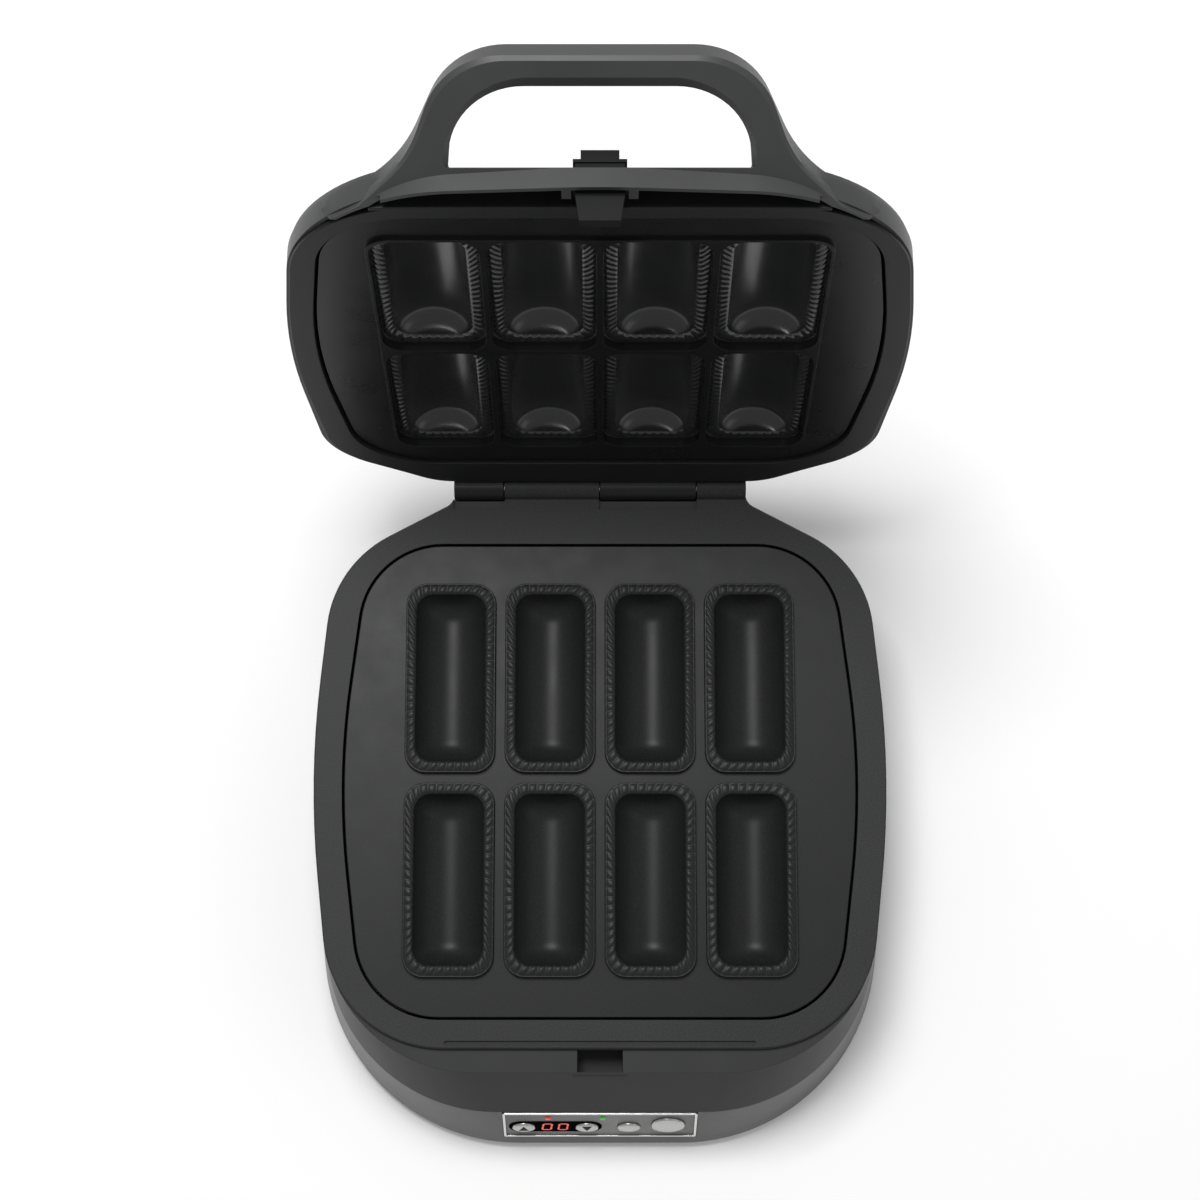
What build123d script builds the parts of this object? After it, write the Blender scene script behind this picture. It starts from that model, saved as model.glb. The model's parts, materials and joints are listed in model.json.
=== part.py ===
"""Electric pie maker: a base tray and a hinged lid, each with a cast plate of eight roll moulds.

Sizes are in millimetres. X runs across the pie maker, Y runs from its front to its back and Z
runs up. The origin is on the table, under the middle of the open pie maker.

Every piece is drawn in one of two frames that share the hinge pin's middle as their origin.
BASE lies level. LID is BASE swung back about the hinge pin, so the lid is drawn as if it were
shut and comes out open. In both, x runs across, a place s in front of the hinge pin has y = -s,
and n is the height above the plane where lid and base meet.
"""

import os
from math import cos, hypot, radians, sin

from build123d import *

os.makedirs("parts", exist_ok=True)

# ---------------------------------------------------------------- driving dimensions
OPEN_ANGLE = 101  # how far the lid stands open
PARTING_HEIGHT = 80  # hinge pin, and the plane where lid and base meet, above the table
HINGE_BACK = 116  # hinge pin behind the middle of the open pie maker

# Plan outline shared by lid and base, measured from the middle line and from the hinge pin.
NECK_HALF = 79  # half width of the hinge barrels
SHOULDER_X, SHOULDER_S = 143.6, 41.8  # sharp corner behind the rear bend
SHOULDER_RADIUS, LID_SHOULDER_RADIUS = 62, 49
WAIST_X, WAIST_S = 155.2, 158  # sharp corner of the two long side lines
WAIST_RADIUS = 500
FRONT_LEAN = 0.112  # how much the front half of a side line draws in per millimetre
RIM_FRONT, RIM_CORNER = 300.3, 64
LEDGE_FRONT, LEDGE_CORNER = 312.4, 80
BAND_FRONT, BAND_CORNER, BAND_FLARE = 332.5, 92, 2.0
FOOT_FRONT, FOOT_CORNER, FOOT_FLARE = 349.0, 108, 7.0
FOOT_EASE = 3  # bevel round the underside
BASE_REAR = -14  # the base reaches this far behind the hinge pin

# Levels of the base below the parting plane.
RIM_THICK = 3
COLLAR = 16  # depth of the wall round the plate opening
BAND_DROP = 34  # joint between the upper housing and the lower shell
FOOT_DROP = 76  # underside of the lower shell
WALL = 2.5

# Cooking plates.
PLATE_HALF, PLATE_REAR, PLATE_FRONT = 136.6, 32, 284
PLATE_GAP = 1.3  # dark gap between a plate and the rim round it
BLOCK_MIDDLE = 158.3  # middle of the mould block, in front of the hinge pin
PITCH_X, PITCH_Y = 53.3, 107.7  # spacing of the eight moulds
PAD_GAP = 5.6  # channel between two raised pads of the lower plate
RIDGE = 3.0  # cutting ridge of the upper plate
PAD_CORNER = 11
TROUGH_RADIUS, TROUGH_SINK = 19.4, 4.6  # roll-shaped hollow: its axis stands this far off the pad
TROUGH_LENGTH = 91
ROLL_END = ((0, 10.0), (3.4, 4.3), (11.0, 0.0))  # distance in from its end, radius lost there
CAST = 3.2  # wall of the casting
BACK_DRAFT = 25  # lean of the walls behind a mould
PAD_RISE = 3.5  # lower pads stand above the parting plane
LAND_LEVEL = 5.5  # upper crimping land stands above the parting plane
UPPER_FLANGE = 2.5  # upper plate's flange above the parting plane
LID_GAP = 0.5  # between lid and base when shut

# Heating elements, reflectors and sensors.
ELEMENT_RADIUS = 3.2
ELEMENT_HALF, ELEMENT_REAR, ELEMENT_FRONT = 111, 47, 270
SHEET = 1.0
LOWER_REFLECTOR_DROP = 18
UPPER_REFLECTOR_LEVEL = 25

# Hinge.
BARREL_RADIUS = 6
PIN_RADIUS = 2
RUNNING_FIT = 0.05
LID_KNUCKLES = ((-79, -52.2), (-0.1, 52.0))  # start and end across the width
BASE_KNUCKLES = ((-51.7, -0.5), (52.5, 79))
POCKET_FRONT = 11.3  # pockets in the base for the lid's knuckles
SCOOP = 8.6  # hollow round the barrels in the back of the lid
LUG_TOP = 4.4  # upper face of the straps that join the lid's knuckles to its frame

# Lid.
CROWN_S, CROWN_N, CROWN_RADIUS = 125, 45.5, 900  # bowed top
CREST_S, CREST_N, CREST_RADIUS = 260, 42, 65  # where the top turns down to the front slope
LID_REAR = 3
LID_NECK_HALF = 88  # the lid's rear edge is wider than the barrels
LID_WAIST_X = 153.0
LID_CORNER = 84
WALL_TOP = 16.5  # the upright wall ends here and the sloping shoulder starts
EASE = 4  # eased edge between wall and shoulder
CROWN_HALF = 120
LID_APEX, LID_BOW = 312.6, 0.055  # sharp middle of the bowed front, and how fast it draws back
COVER_BOTTOM = 3
SLOPE_FOOT_S, SLOPE_FOOT_N = 313, 9.8
NOSE_S, NOSE_HALF = 302, 96  # front of the lid that belongs to the handle's under cover
RING_FRONT, RING_REAR, RING_INSET = 298, 4.5, 3.5
RING_CORNER = 66
RING_TOP, RING_COLLAR = 3, 13

# Handle loop, drawn on a plane that rises forward from the foot of the lid's front slope.
HANDLE_SLOPE = 32
HANDLE_S, HANDLE_N = 311, 10
HANDLE_THICK = 15
GRIP_SKIN = 5.5  # part of that thickness that belongs to the under cover
GRIP_LOW, GRIP_HIGH = (66.7, 52.4), (63.4, 52.4)  # sharp corners of its underside and upper side
GRIP_CORNER, ROOT_BEND = 36, 60
GRIP_EASE = 1.8  # bevel along the loop's long edges
ROOT_LOW, ROOT_LOW_END = (83.8, 4.6), (117, -28)  # where a leg flares out, on its underside
ROOT_HIGH, ROOT_HIGH_END = (86.5, 1.5), (124, -26)  # and on its upper side
OPENING_TOP, OPENING_FOOT, OPENING_HALF = 36.5, 0.6, 67.0
OPENING_DEEP = -8  # the opening reaches down to the lid's slope behind its front wall
GRIP_BEVEL = 6.5  # how much higher the opening reaches on the underside

# Latch.
LATCH_S, LATCH_N = 304.5, 6.5
LATCH_ROOM = 309.9  # front of the slot that the latch tips in
TONGUE_HALF, TONGUE_TIP_HALF = 11.0, 9.0
TONGUE_REAR, TONGUE_FRONT, TONGUE_TIP = 303, 307, -13
HOOK_REAR, HOOK_TOP = 301.2, -6.6
COLLAR_FOOT, COLLAR_TOP, COLLAR_FRONT = 15.6, 17.2, 308
KNOB_HALF, KNOB_REAR, KNOB_TOP = 8.5, 300, 23
SLOT_HALF = 11.9
RIB_START, RIB_END, RIB_TOP = 12.6, 16.8, 11  # ribs that hold the latch pin
LATCH_PIN = 16.4  # half length
LATCH_PIN_RADIUS, PIN_BORE, PIN_RUNNING = 1.5, 1.52, 1.57

# Control panel on the sloping front of the lower shell.
PANEL_WIDTH, PANEL_HEIGHT = 104, 33
PANEL_START = 0.8  # below the top edge of the sloping band
BEZEL = 1.4
PANEL_DEPTH = 2.4
BUTTON_TRAVEL = 1.2

# Cord gland in the rear wall.
GLAND_X, GLAND_Z, GLAND_RADIUS = -40, -55, 8
CORD_RADIUS = 3.5

swing = radians(OPEN_ANGLE)
HINGE = Vector(0, HINGE_BACK, PARTING_HEIGHT)
BASE = Plane(origin=HINGE, x_dir=(1, 0, 0), z_dir=(0, 0, 1))
LID = Plane(origin=HINGE, x_dir=(1, 0, 0), z_dir=(0, sin(swing), cos(swing)))

slope = radians(HANDLE_SLOPE)
HANDLE = Plane(
    origin=LID.from_local_coords((0, -HANDLE_S, HANDLE_N)),
    x_dir=(-1, 0, 0),
    z_dir=LID.z_dir * cos(slope) + LID.y_dir * sin(slope),
)

band_run = FOOT_FRONT - BAND_FRONT
band_fall = FOOT_DROP - BAND_DROP
band_length = hypot(band_run, band_fall)
panel_middle = PANEL_START + PANEL_HEIGHT / 2
PANEL = Plane(
    origin=BASE.from_local_coords(
        (
            0,
            -(BAND_FRONT + panel_middle * band_run / band_length),
            -(BAND_DROP + panel_middle * band_fall / band_length),
        )
    ),
    x_dir=(1, 0, 0),
    z_dir=(0, -band_fall, band_run),
)


# ---------------------------------------------------------------- shared shapes
def side_plane(frame, x=0.0):
    """Upright plane at x: its x runs forward from the hinge pin, its y up, its normal to -X."""
    return Plane(origin=frame.from_local_coords((x, 0, 0)), x_dir=-frame.y_dir, z_dir=-frame.x_dir)


def mirrored(points):
    """Right half of an outline, from front to rear, followed by its mirror image."""
    return points + [(-x, y) for x, y in reversed(points)]


def rectangle(plane, x0, x1, s0, s1):
    """Rectangle between two places across and two places forward."""
    with BuildSketch(plane) as sketch:
        with Locations(((x0 + x1) / 2, -(s0 + s1) / 2)):
            Rectangle(x1 - x0, s1 - s0)
    return sketch.sketch


def side_shape(plane, *points):
    """Closed shape through points given as places forward and up."""
    with BuildSketch(plane) as sketch:
        with BuildLine():
            Polyline(*points, close=True)
        make_face()
    return sketch.sketch


def disc(plane, radius, *centres):
    """Equal discs at the given centres."""
    with BuildSketch(plane) as sketch:
        with Locations(*centres):
            Circle(radius)
    return sketch.sketch


def tray_outline(plane, front, corner, rear, flare=0.0, inset=0.0, apex=None):
    """Plan outline of the housings: long bowed sides, round front corners, narrow hinge neck."""
    waist = WAIST_X + flare
    front_x = waist - FRONT_LEAN * (front - WAIST_S)
    if apex:  # the front leans back from its middle, so it meets the side line earlier
        front_x = (waist - FRONT_LEAN * (apex - WAIST_S)) / (1 - FRONT_LEAN * LID_BOW)
        front = apex - LID_BOW * front_x
    right = [(front_x, -front), (waist, -WAIST_S), (SHOULDER_X + flare, -SHOULDER_S)]
    if rear < 0:  # the base keeps the width of the barrels behind the hinge pin
        radii = [corner, WAIST_RADIUS, SHOULDER_RADIUS]
        right += [(NECK_HALF + flare / 2, -7.6), (NECK_HALF + flare / 2, -rear)]
        radii += [8, 6]
    else:
        right += [(LID_NECK_HALF, -rear)]
        radii = [corner, WAIST_RADIUS, LID_SHOULDER_RADIUS, 30]
    outline = mirrored(right)
    radii = radii + radii[::-1]
    if apex:
        outline = [(0, -apex)] + outline
        radii = [250] + radii
    with BuildSketch(plane) as sketch:
        with BuildLine():
            FilletPolyline(*outline, radius=radii, close=True)
        make_face()
        if inset:
            offset(amount=-inset)
    return sketch.sketch


def plate_outline(plane, grow=0.0):
    """Outline of a cooking plate: a rounded rectangle with bowed sides."""
    half, rear, front = PLATE_HALF + grow, PLATE_REAR - grow, PLATE_FRONT + grow
    middle = (rear + front) / 2
    right = [(half - 13, -front), (half + 2.6, -middle), (half - 13, -rear)]
    radii = [44 + grow, 420, 44 + grow]
    with BuildSketch(plane) as sketch:
        with BuildLine():
            FilletPolyline(*mirrored(right), radius=radii + radii[::-1], close=True)
        make_face()
    return sketch.sketch


def block_outline(plane, grow=0.0):
    """Rounded rectangle round all eight moulds."""
    with BuildSketch(plane) as sketch:
        with Locations((0, -BLOCK_MIDDLE)):
            RectangleRounded(4 * PITCH_X + 2 * grow, 2 * PITCH_Y + 2 * grow, PAD_CORNER + grow)
    return sketch.sketch


def pad_outlines(plane, gap):
    """The eight pads that crimp the pastry round each mould."""
    with BuildSketch(plane) as sketch:
        with Locations((0, -BLOCK_MIDDLE)):
            with GridLocations(PITCH_X, PITCH_Y, 4, 2):
                RectangleRounded(PITCH_X - gap, PITCH_Y - gap, PAD_CORNER)
    return sketch.sketch


def roll():
    """A solid in the shape of one roll, lying along Y about the origin."""
    half = TROUGH_LENGTH / 2
    profile = [(half, 0)]
    profile += [(half - inward, TROUGH_RADIUS - drop) for inward, drop in ROLL_END]
    outline = profile + [(-y, r) for y, r in reversed(profile)]
    with BuildPart() as solid:
        with BuildSketch(Plane.YZ):
            with BuildLine():
                Polyline(*outline, close=True)
            make_face()
        revolve(axis=Axis.Y)
    return solid.part


def casting_backs(plane, depth):
    """Bosses with leaning walls on a plate's back, one behind each mould."""
    with BuildPart() as backs:
        with BuildSketch(plane):
            with Locations((0, -BLOCK_MIDDLE)):
                with GridLocations(PITCH_X, PITCH_Y, 4, 2):
                    Rectangle(2 * TROUGH_RADIUS + 2 * CAST, TROUGH_LENGTH + 2 * CAST)
        extrude(amount=depth, taper=BACK_DRAFT)
    return backs.part


def roll_places(frame, level):
    """Places of the eight rolls' axes, at one level above the parting plane."""
    return [
        frame * Location(((column - 1.5) * PITCH_X, -BLOCK_MIDDLE + row * PITCH_Y, level))
        for column in range(4)
        for row in (-0.5, 0.5)
    ]


def element(frame, level):
    """Sheathed heating tube round the mould block, with both ends turned back at the rear."""
    path_plane = frame.offset(level)
    gap, tail = 22, 12
    with BuildPart() as tube:
        with BuildLine(path_plane) as path:
            FilletPolyline(
                (gap, -ELEMENT_REAR + tail),
                (gap, -ELEMENT_REAR),
                (ELEMENT_HALF, -ELEMENT_REAR),
                (ELEMENT_HALF, -ELEMENT_FRONT),
                (-ELEMENT_HALF, -ELEMENT_FRONT),
                (-ELEMENT_HALF, -ELEMENT_REAR),
                (-gap, -ELEMENT_REAR),
                (-gap, -ELEMENT_REAR + tail),
                radius=[8, 16, 16, 16, 16, 8],
            )
        with BuildSketch(Plane(origin=path.wire() @ 0, z_dir=path.wire() % 0)):
            RegularPolygon(ELEMENT_RADIUS, 6)
        sweep()
    return tube


def sensor(frame, s, n0, n1):
    """Round temperature sensor pressed against the back of a plate."""
    with BuildPart() as probe:
        extrude(disc(frame.offset(n0), 3.2, (0, -s)), amount=n1 - n0)
    return probe


# ---------------------------------------------------------------- cooking plates
hollow = roll()

lower_axis = PAD_RISE + TROUGH_SINK
plate_back = Plane(origin=BASE.from_local_coords((0, 0, -CAST)), x_dir=(-1, 0, 0), z_dir=(0, 0, -1))
with BuildPart() as lower_cooking_plate:
    add(casting_backs(plate_back, TROUGH_RADIUS - lower_axis))
    extrude(plate_outline(BASE.offset(-CAST)), amount=CAST)
    extrude(pad_outlines(BASE.offset(-CAST), PAD_GAP), amount=CAST + PAD_RISE)
    with Locations(roll_places(BASE, lower_axis)):
        add(hollow, mode=Mode.SUBTRACT)
lower_cooking_plate.part.label = "lower_cooking_plate"
export_step(lower_cooking_plate.part, "parts/lower_cooking_plate.step")

upper_axis = LAND_LEVEL - TROUGH_SINK
with BuildPart() as upper_cooking_plate:
    add(casting_backs(LID.offset(LAND_LEVEL + CAST), TROUGH_RADIUS - TROUGH_SINK))
    extrude(plate_outline(LID.offset(UPPER_FLANGE)), amount=CAST)
    extrude(block_outline(LID.offset(LID_GAP)), amount=LAND_LEVEL + CAST - LID_GAP)
    extrude(pad_outlines(LID.offset(LID_GAP), RIDGE), amount=LAND_LEVEL - LID_GAP, mode=Mode.SUBTRACT)
    with Locations(roll_places(LID, upper_axis)):
        add(hollow, mode=Mode.SUBTRACT)
upper_cooking_plate.part.label = "upper_cooking_plate"
export_step(upper_cooking_plate.part, "parts/upper_cooking_plate.step")


# ---------------------------------------------------------------- base housing
PIN_START, PIN_END = -76, 79
with BuildPart() as base_rim_frame:
    rim_floor = BASE.offset(-RIM_THICK)
    extrude(tray_outline(rim_floor, RIM_FRONT, RIM_CORNER, BASE_REAR), amount=RIM_THICK)
    chamfer(faces().sort_by(Axis.Z)[-1].edges(), 0.8)
    extrude(plate_outline(BASE.offset(-COLLAR), PLATE_GAP + 2), amount=COLLAR)
    for start, end in LID_KNUCKLES:
        extrude(
            rectangle(rim_floor, start - 0.5, end + 0.5, -7, POCKET_FRONT),
            amount=2 * RIM_THICK,
            mode=Mode.SUBTRACT,
        )
    for start, end in BASE_KNUCKLES:
        strap = side_shape(side_plane(BASE, end), (-8, -3), (10, -3), (10, 0), (-8, 0))
        extrude(strap, amount=end - start)
        extrude(disc(side_plane(BASE, end), BARREL_RADIUS, (0, 0)), amount=end - start)
    extrude(plate_outline(BASE.offset(-COLLAR), PLATE_GAP), amount=2 * COLLAR, mode=Mode.SUBTRACT)
    extrude(
        disc(side_plane(BASE, PIN_END), PIN_RADIUS + RUNNING_FIT, (0, 0)),
        amount=PIN_END - PIN_START,
        mode=Mode.SUBTRACT,
    )
    with BuildSketch(BASE.offset(-1.4)):
        with Locations((0, -297.3)):
            SlotOverall(163, 2.4)
    extrude(amount=2, mode=Mode.SUBTRACT)
base_rim_frame.part.label = "base_rim_frame"
export_step(base_rim_frame.part, "parts/base_rim_frame.step")

with BuildPart() as base_upper_housing:
    ledge = BASE.offset(-RIM_THICK)
    joint = BASE.offset(-BAND_DROP)
    outer = [
        tray_outline(ledge, LEDGE_FRONT, LEDGE_CORNER, BASE_REAR),
        tray_outline(joint, BAND_FRONT, BAND_CORNER, BASE_REAR, BAND_FLARE),
    ]
    loft(outer, ruled=True)
    inner = [
        tray_outline(ledge.offset(-WALL), LEDGE_FRONT, LEDGE_CORNER, BASE_REAR, 0, WALL),
        tray_outline(joint, BAND_FRONT, BAND_CORNER, BASE_REAR, BAND_FLARE, WALL),
    ]
    loft(inner, ruled=True, mode=Mode.SUBTRACT)
    extrude(
        plate_outline(BASE.offset(-2 * COLLAR), PLATE_GAP + 2.3),
        amount=2 * COLLAR,
        mode=Mode.SUBTRACT,
    )
    # walls of the pocket that takes the latch
    extrude(rectangle(BASE.offset(-22), -14.4, 14.4, 294, 314.6), amount=22 - RIM_THICK - WALL)
    extrude(
        rectangle(BASE.offset(-20), -SLOT_HALF, SLOT_HALF, 296.5, 312.1),
        amount=20 - RIM_THICK - WALL,
        mode=Mode.SUBTRACT,
    )
    extrude(
        rectangle(BASE.offset(-20), -SLOT_HALF, SLOT_HALF, 300.8, 312.1),
        amount=20,
        mode=Mode.SUBTRACT,
    )
    for start, end in LID_KNUCKLES:
        extrude(
            disc(side_plane(BASE, end + 0.5), BARREL_RADIUS + 1, (0, 0)),
            amount=end - start + 1,
            mode=Mode.SUBTRACT,
        )
    for start, end in BASE_KNUCKLES:
        extrude(
            disc(side_plane(BASE, end + 0.5), BARREL_RADIUS + 0.1, (0, 0)),
            amount=end - start + 1,
            mode=Mode.SUBTRACT,
        )
base_upper_housing.part.label = "base_upper_housing"
export_step(base_upper_housing.part, "parts/base_upper_housing.step")

FEET = [(112, -40), (-112, -40), (104, -292), (-104, -292)]
VENT_S = (110, 206)
with BuildPart() as base_lower_shell:
    top = BASE.offset(-BAND_DROP)
    bottom = BASE.offset(-FOOT_DROP)
    outer = [
        tray_outline(top, BAND_FRONT, BAND_CORNER, BASE_REAR, BAND_FLARE),
        tray_outline(bottom.offset(FOOT_EASE), FOOT_FRONT, FOOT_CORNER, BASE_REAR, FOOT_FLARE),
        tray_outline(bottom, FOOT_FRONT, FOOT_CORNER, BASE_REAR, FOOT_FLARE, FOOT_EASE),
    ]
    loft(outer, ruled=True)
    inner = [
        tray_outline(top, BAND_FRONT, BAND_CORNER, BASE_REAR, BAND_FLARE, WALL),
        tray_outline(bottom.offset(WALL), FOOT_FRONT - 1, FOOT_CORNER, BASE_REAR, FOOT_FLARE, WALL),
    ]
    loft(inner, ruled=True, mode=Mode.SUBTRACT)
    # seat of the control panel
    with BuildSketch(PANEL.offset(-9)):
        Rectangle(PANEL_WIDTH + 5, PANEL_HEIGHT + 5)
    extrude(amount=8.4)
    split(bisect_by=top, keep=Keep.BOTTOM)
    with BuildSketch(PANEL.offset(-PANEL_DEPTH)):
        Rectangle(PANEL_WIDTH + 0.4, PANEL_HEIGHT + 0.4)
    extrude(amount=PANEL_DEPTH + 6, mode=Mode.SUBTRACT)
    with BuildSketch(PANEL.offset(-12)):
        Rectangle(PANEL_WIDTH - 5, PANEL_HEIGHT - 5)
    extrude(amount=12, mode=Mode.SUBTRACT)
    extrude(disc(bottom, 4, *FEET), amount=WALL, mode=Mode.SUBTRACT)
    rear_wall = Plane(
        origin=BASE.from_local_coords((GLAND_X, -BASE_REAR, GLAND_Z)),
        x_dir=(1, 0, 0),
        z_dir=(0, 1, 0),
    )
    extrude(disc(rear_wall.offset(-5), GLAND_RADIUS, (0, 0)), amount=8, mode=Mode.SUBTRACT)
    with BuildSketch(bottom):
        for s in VENT_S:
            with Locations((0, -s)):
                with GridLocations(14, 0, 7, 1):
                    Rectangle(4, 50)
    extrude(amount=WALL, mode=Mode.SUBTRACT)
base_lower_shell.part.label = "base_lower_shell"
export_step(base_lower_shell.part, "parts/base_lower_shell.step")

with BuildPart() as rubber_foot:
    extrude(disc(Plane.XY, 9, (0, 0)), amount=4)
    chamfer(edges().group_by(Axis.Z)[0], 0.8)
    extrude(disc(Plane.XY, 3.9, (0, 0)), amount=4 + WALL)
FOOT_NAMES = ("foot_rear_right", "foot_rear_left", "foot_front_right", "foot_front_left")
for name, (x, y) in zip(FOOT_NAMES, FEET):
    with BuildPart() as foot:
        with Locations(Location(BASE.from_local_coords((x, y, -PARTING_HEIGHT)))):
            add(rubber_foot.part)
    foot.part.label = name
    export_step(foot.part, f"parts/{name}.step")

# ---------------------------------------------------------------- inside the base
lower_heating_element = element(BASE, -CAST - ELEMENT_RADIUS)
lower_heating_element.part.label = "lower_heating_element"
export_step(lower_heating_element.part, "parts/lower_heating_element.step")

with BuildPart() as lower_reflector_tray:
    extrude(plate_outline(BASE.offset(-LOWER_REFLECTOR_DROP), -4), amount=SHEET)
lower_reflector_tray.part.label = "lower_reflector_tray"
export_step(lower_reflector_tray.part, "parts/lower_reflector_tray.step")

lower_temperature_sensor = sensor(BASE, BLOCK_MIDDLE, -14, -CAST)
lower_temperature_sensor.part.label = "lower_temperature_sensor"
export_step(lower_temperature_sensor.part, "parts/lower_temperature_sensor.step")

# ---------------------------------------------------------------- control panel
UP_X, DOWN_X, OVAL_X, ROUND_X = -41, -7, 15.5, 36.6  # places across the panel
BUTTON_Y, ROUND_Y, LAMP_Y = -3.2, -0.2, 8.9
OVAL_RADII = (6, 5)
ROUND_RADIUS = 8.9
LAMPS = ((-27.8, LAMP_Y), (1.5, LAMP_Y))
LAMP_RADIUS = 1.7
WINDOW_SIZE, DISPLAY_SIZE = (50, 13.8), (15, 12)
BUTTON_DEPTH = 6  # how far a button reaches in behind the panel's face
BUTTON_STOP, STOP_THICK, STOP_WIDE = 4.2, 1.4, 1.2  # flange that keeps a button in


def ovals(plane, grow, *places):
    """Oval button outlines."""
    with BuildSketch(plane) as sketch:
        with Locations(*[(x, BUTTON_Y) for x in places]):
            Ellipse(OVAL_RADII[0] + grow, OVAL_RADII[1] + grow)
    return sketch.sketch


def window_shape(plane, grow=0.0):
    """Capsule-shaped window of the display."""
    with BuildSketch(plane) as sketch:
        with Locations(((UP_X + DOWN_X) / 2, BUTTON_Y)):
            SlotOverall(WINDOW_SIZE[0] + 2 * grow, WINDOW_SIZE[1] + 2 * grow)
    return sketch.sketch


with BuildPart() as panel_bezel:
    with BuildSketch(PANEL.offset(-PANEL_DEPTH)):
        RectangleRounded(PANEL_WIDTH, PANEL_HEIGHT, 1.2)
        RectangleRounded(PANEL_WIDTH - 2 * BEZEL, PANEL_HEIGHT - 2 * BEZEL, 0.6, mode=Mode.SUBTRACT)
    extrude(amount=PANEL_DEPTH + 0.9)
panel_bezel.part.label = "panel_bezel"
export_step(panel_bezel.part, "parts/panel_bezel.step")

with BuildPart() as panel_fascia:
    with BuildSketch(PANEL.offset(-PANEL_DEPTH)):
        RectangleRounded(PANEL_WIDTH - 2 * BEZEL - 0.2, PANEL_HEIGHT - 2 * BEZEL - 0.2, 0.5)
    extrude(amount=PANEL_DEPTH)
    cut = PANEL.offset(-PANEL_DEPTH)
    extrude(window_shape(cut, 0.1), amount=PANEL_DEPTH, mode=Mode.SUBTRACT)
    extrude(ovals(cut, 0.3, OVAL_X), amount=PANEL_DEPTH, mode=Mode.SUBTRACT)
    extrude(disc(cut, ROUND_RADIUS + 0.3, (ROUND_X, ROUND_Y)), amount=PANEL_DEPTH, mode=Mode.SUBTRACT)
    extrude(disc(cut, LAMP_RADIUS + 0.1, *LAMPS), amount=PANEL_DEPTH, mode=Mode.SUBTRACT)
panel_fascia.part.label = "panel_fascia"
export_step(panel_fascia.part, "parts/panel_fascia.step")

with BuildPart() as display_window:
    extrude(window_shape(PANEL.offset(-PANEL_DEPTH)), amount=PANEL_DEPTH + 0.3)
    extrude(ovals(PANEL.offset(-PANEL_DEPTH), 0.3, UP_X, DOWN_X), amount=5, mode=Mode.SUBTRACT)
display_window.part.label = "display_window"
export_step(display_window.part, "parts/display_window.step")

for name, x in (("time_up_button", UP_X), ("time_down_button", DOWN_X), ("extra_time_button", OVAL_X)):
    with BuildPart() as oval_button:
        extrude(ovals(PANEL.offset(-BUTTON_DEPTH), 0, x), amount=BUTTON_DEPTH + BUTTON_TRAVEL)
        extrude(ovals(PANEL.offset(-BUTTON_STOP), STOP_WIDE, x), amount=STOP_THICK)
    oval_button.part.label = name
    export_step(oval_button.part, f"parts/{name}.step")

with BuildPart() as start_button:
    centre = (ROUND_X, ROUND_Y)
    extrude(disc(PANEL.offset(-BUTTON_DEPTH), ROUND_RADIUS, centre), amount=BUTTON_DEPTH + BUTTON_TRAVEL)
    extrude(disc(PANEL.offset(-BUTTON_STOP), ROUND_RADIUS + STOP_WIDE, centre), amount=STOP_THICK)
start_button.part.label = "start_button"
export_step(start_button.part, "parts/start_button.step")

for name, place in zip(("heating_lamp", "ready_lamp"), LAMPS):
    with BuildPart() as lamp:
        extrude(disc(PANEL.offset(-7), LAMP_RADIUS, place), amount=7.4)
    lamp.part.label = name
    export_step(lamp.part, f"parts/{name}.step")

BOARD_DEPTH, BOARD_THICK = 12, 1.6
with BuildPart() as control_board:
    with BuildSketch(PANEL.offset(-BOARD_DEPTH - BOARD_THICK)):
        Rectangle(PANEL_WIDTH - 8, PANEL_HEIGHT - 6)
    extrude(amount=BOARD_THICK)
control_board.part.label = "control_board"
export_step(control_board.part, "parts/control_board.step")

SWITCH_PLACES = [(x, BUTTON_Y) for x in (UP_X, DOWN_X, OVAL_X)] + [(ROUND_X, ROUND_Y)]
with BuildPart() as key_switches:
    with BuildSketch(PANEL.offset(-BOARD_DEPTH)):
        with Locations(*SWITCH_PLACES):
            Rectangle(6, 6)
    extrude(amount=3)
    with BuildSketch(PANEL.offset(-BOARD_DEPTH)):
        with Locations(*SWITCH_PLACES):
            Rectangle(3, 3)
    extrude(amount=4.4)
key_switches.part.label = "key_switches"
export_step(key_switches.part, "parts/key_switches.step")

with BuildPart() as display_module:
    with BuildSketch(PANEL.offset(-BOARD_DEPTH)):
        with Locations(((UP_X + DOWN_X) / 2 - 0.2, BUTTON_Y)):
            Rectangle(*DISPLAY_SIZE)
    extrude(amount=BOARD_DEPTH - PANEL_DEPTH - 0.3)
display_module.part.label = "display_module"
export_step(display_module.part, "parts/display_module.step")

# ---------------------------------------------------------------- hinge pin
with BuildPart() as hinge_pin:
    extrude(disc(side_plane(BASE, PIN_END - 1.5), PIN_RADIUS, (0, 0)), amount=PIN_END - 2 - PIN_START)
hinge_pin.part.label = "hinge_pin"
export_step(hinge_pin.part, "parts/hinge_pin.step")


# ---------------------------------------------------------------- lid
def bowed_outline(plane, apex, apex_radius, right, radii, inset):
    """Outline with a bowed front: its middle, the corners of its right half, their roundings."""
    outline = [(0, -apex)] + mirrored(right)
    with BuildSketch(plane) as sketch:
        with BuildLine():
            FilletPolyline(*outline, radius=[apex_radius] + radii + radii[::-1], close=True)
        make_face()
        if inset:
            offset(amount=-inset)
    return sketch.sketch


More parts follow.
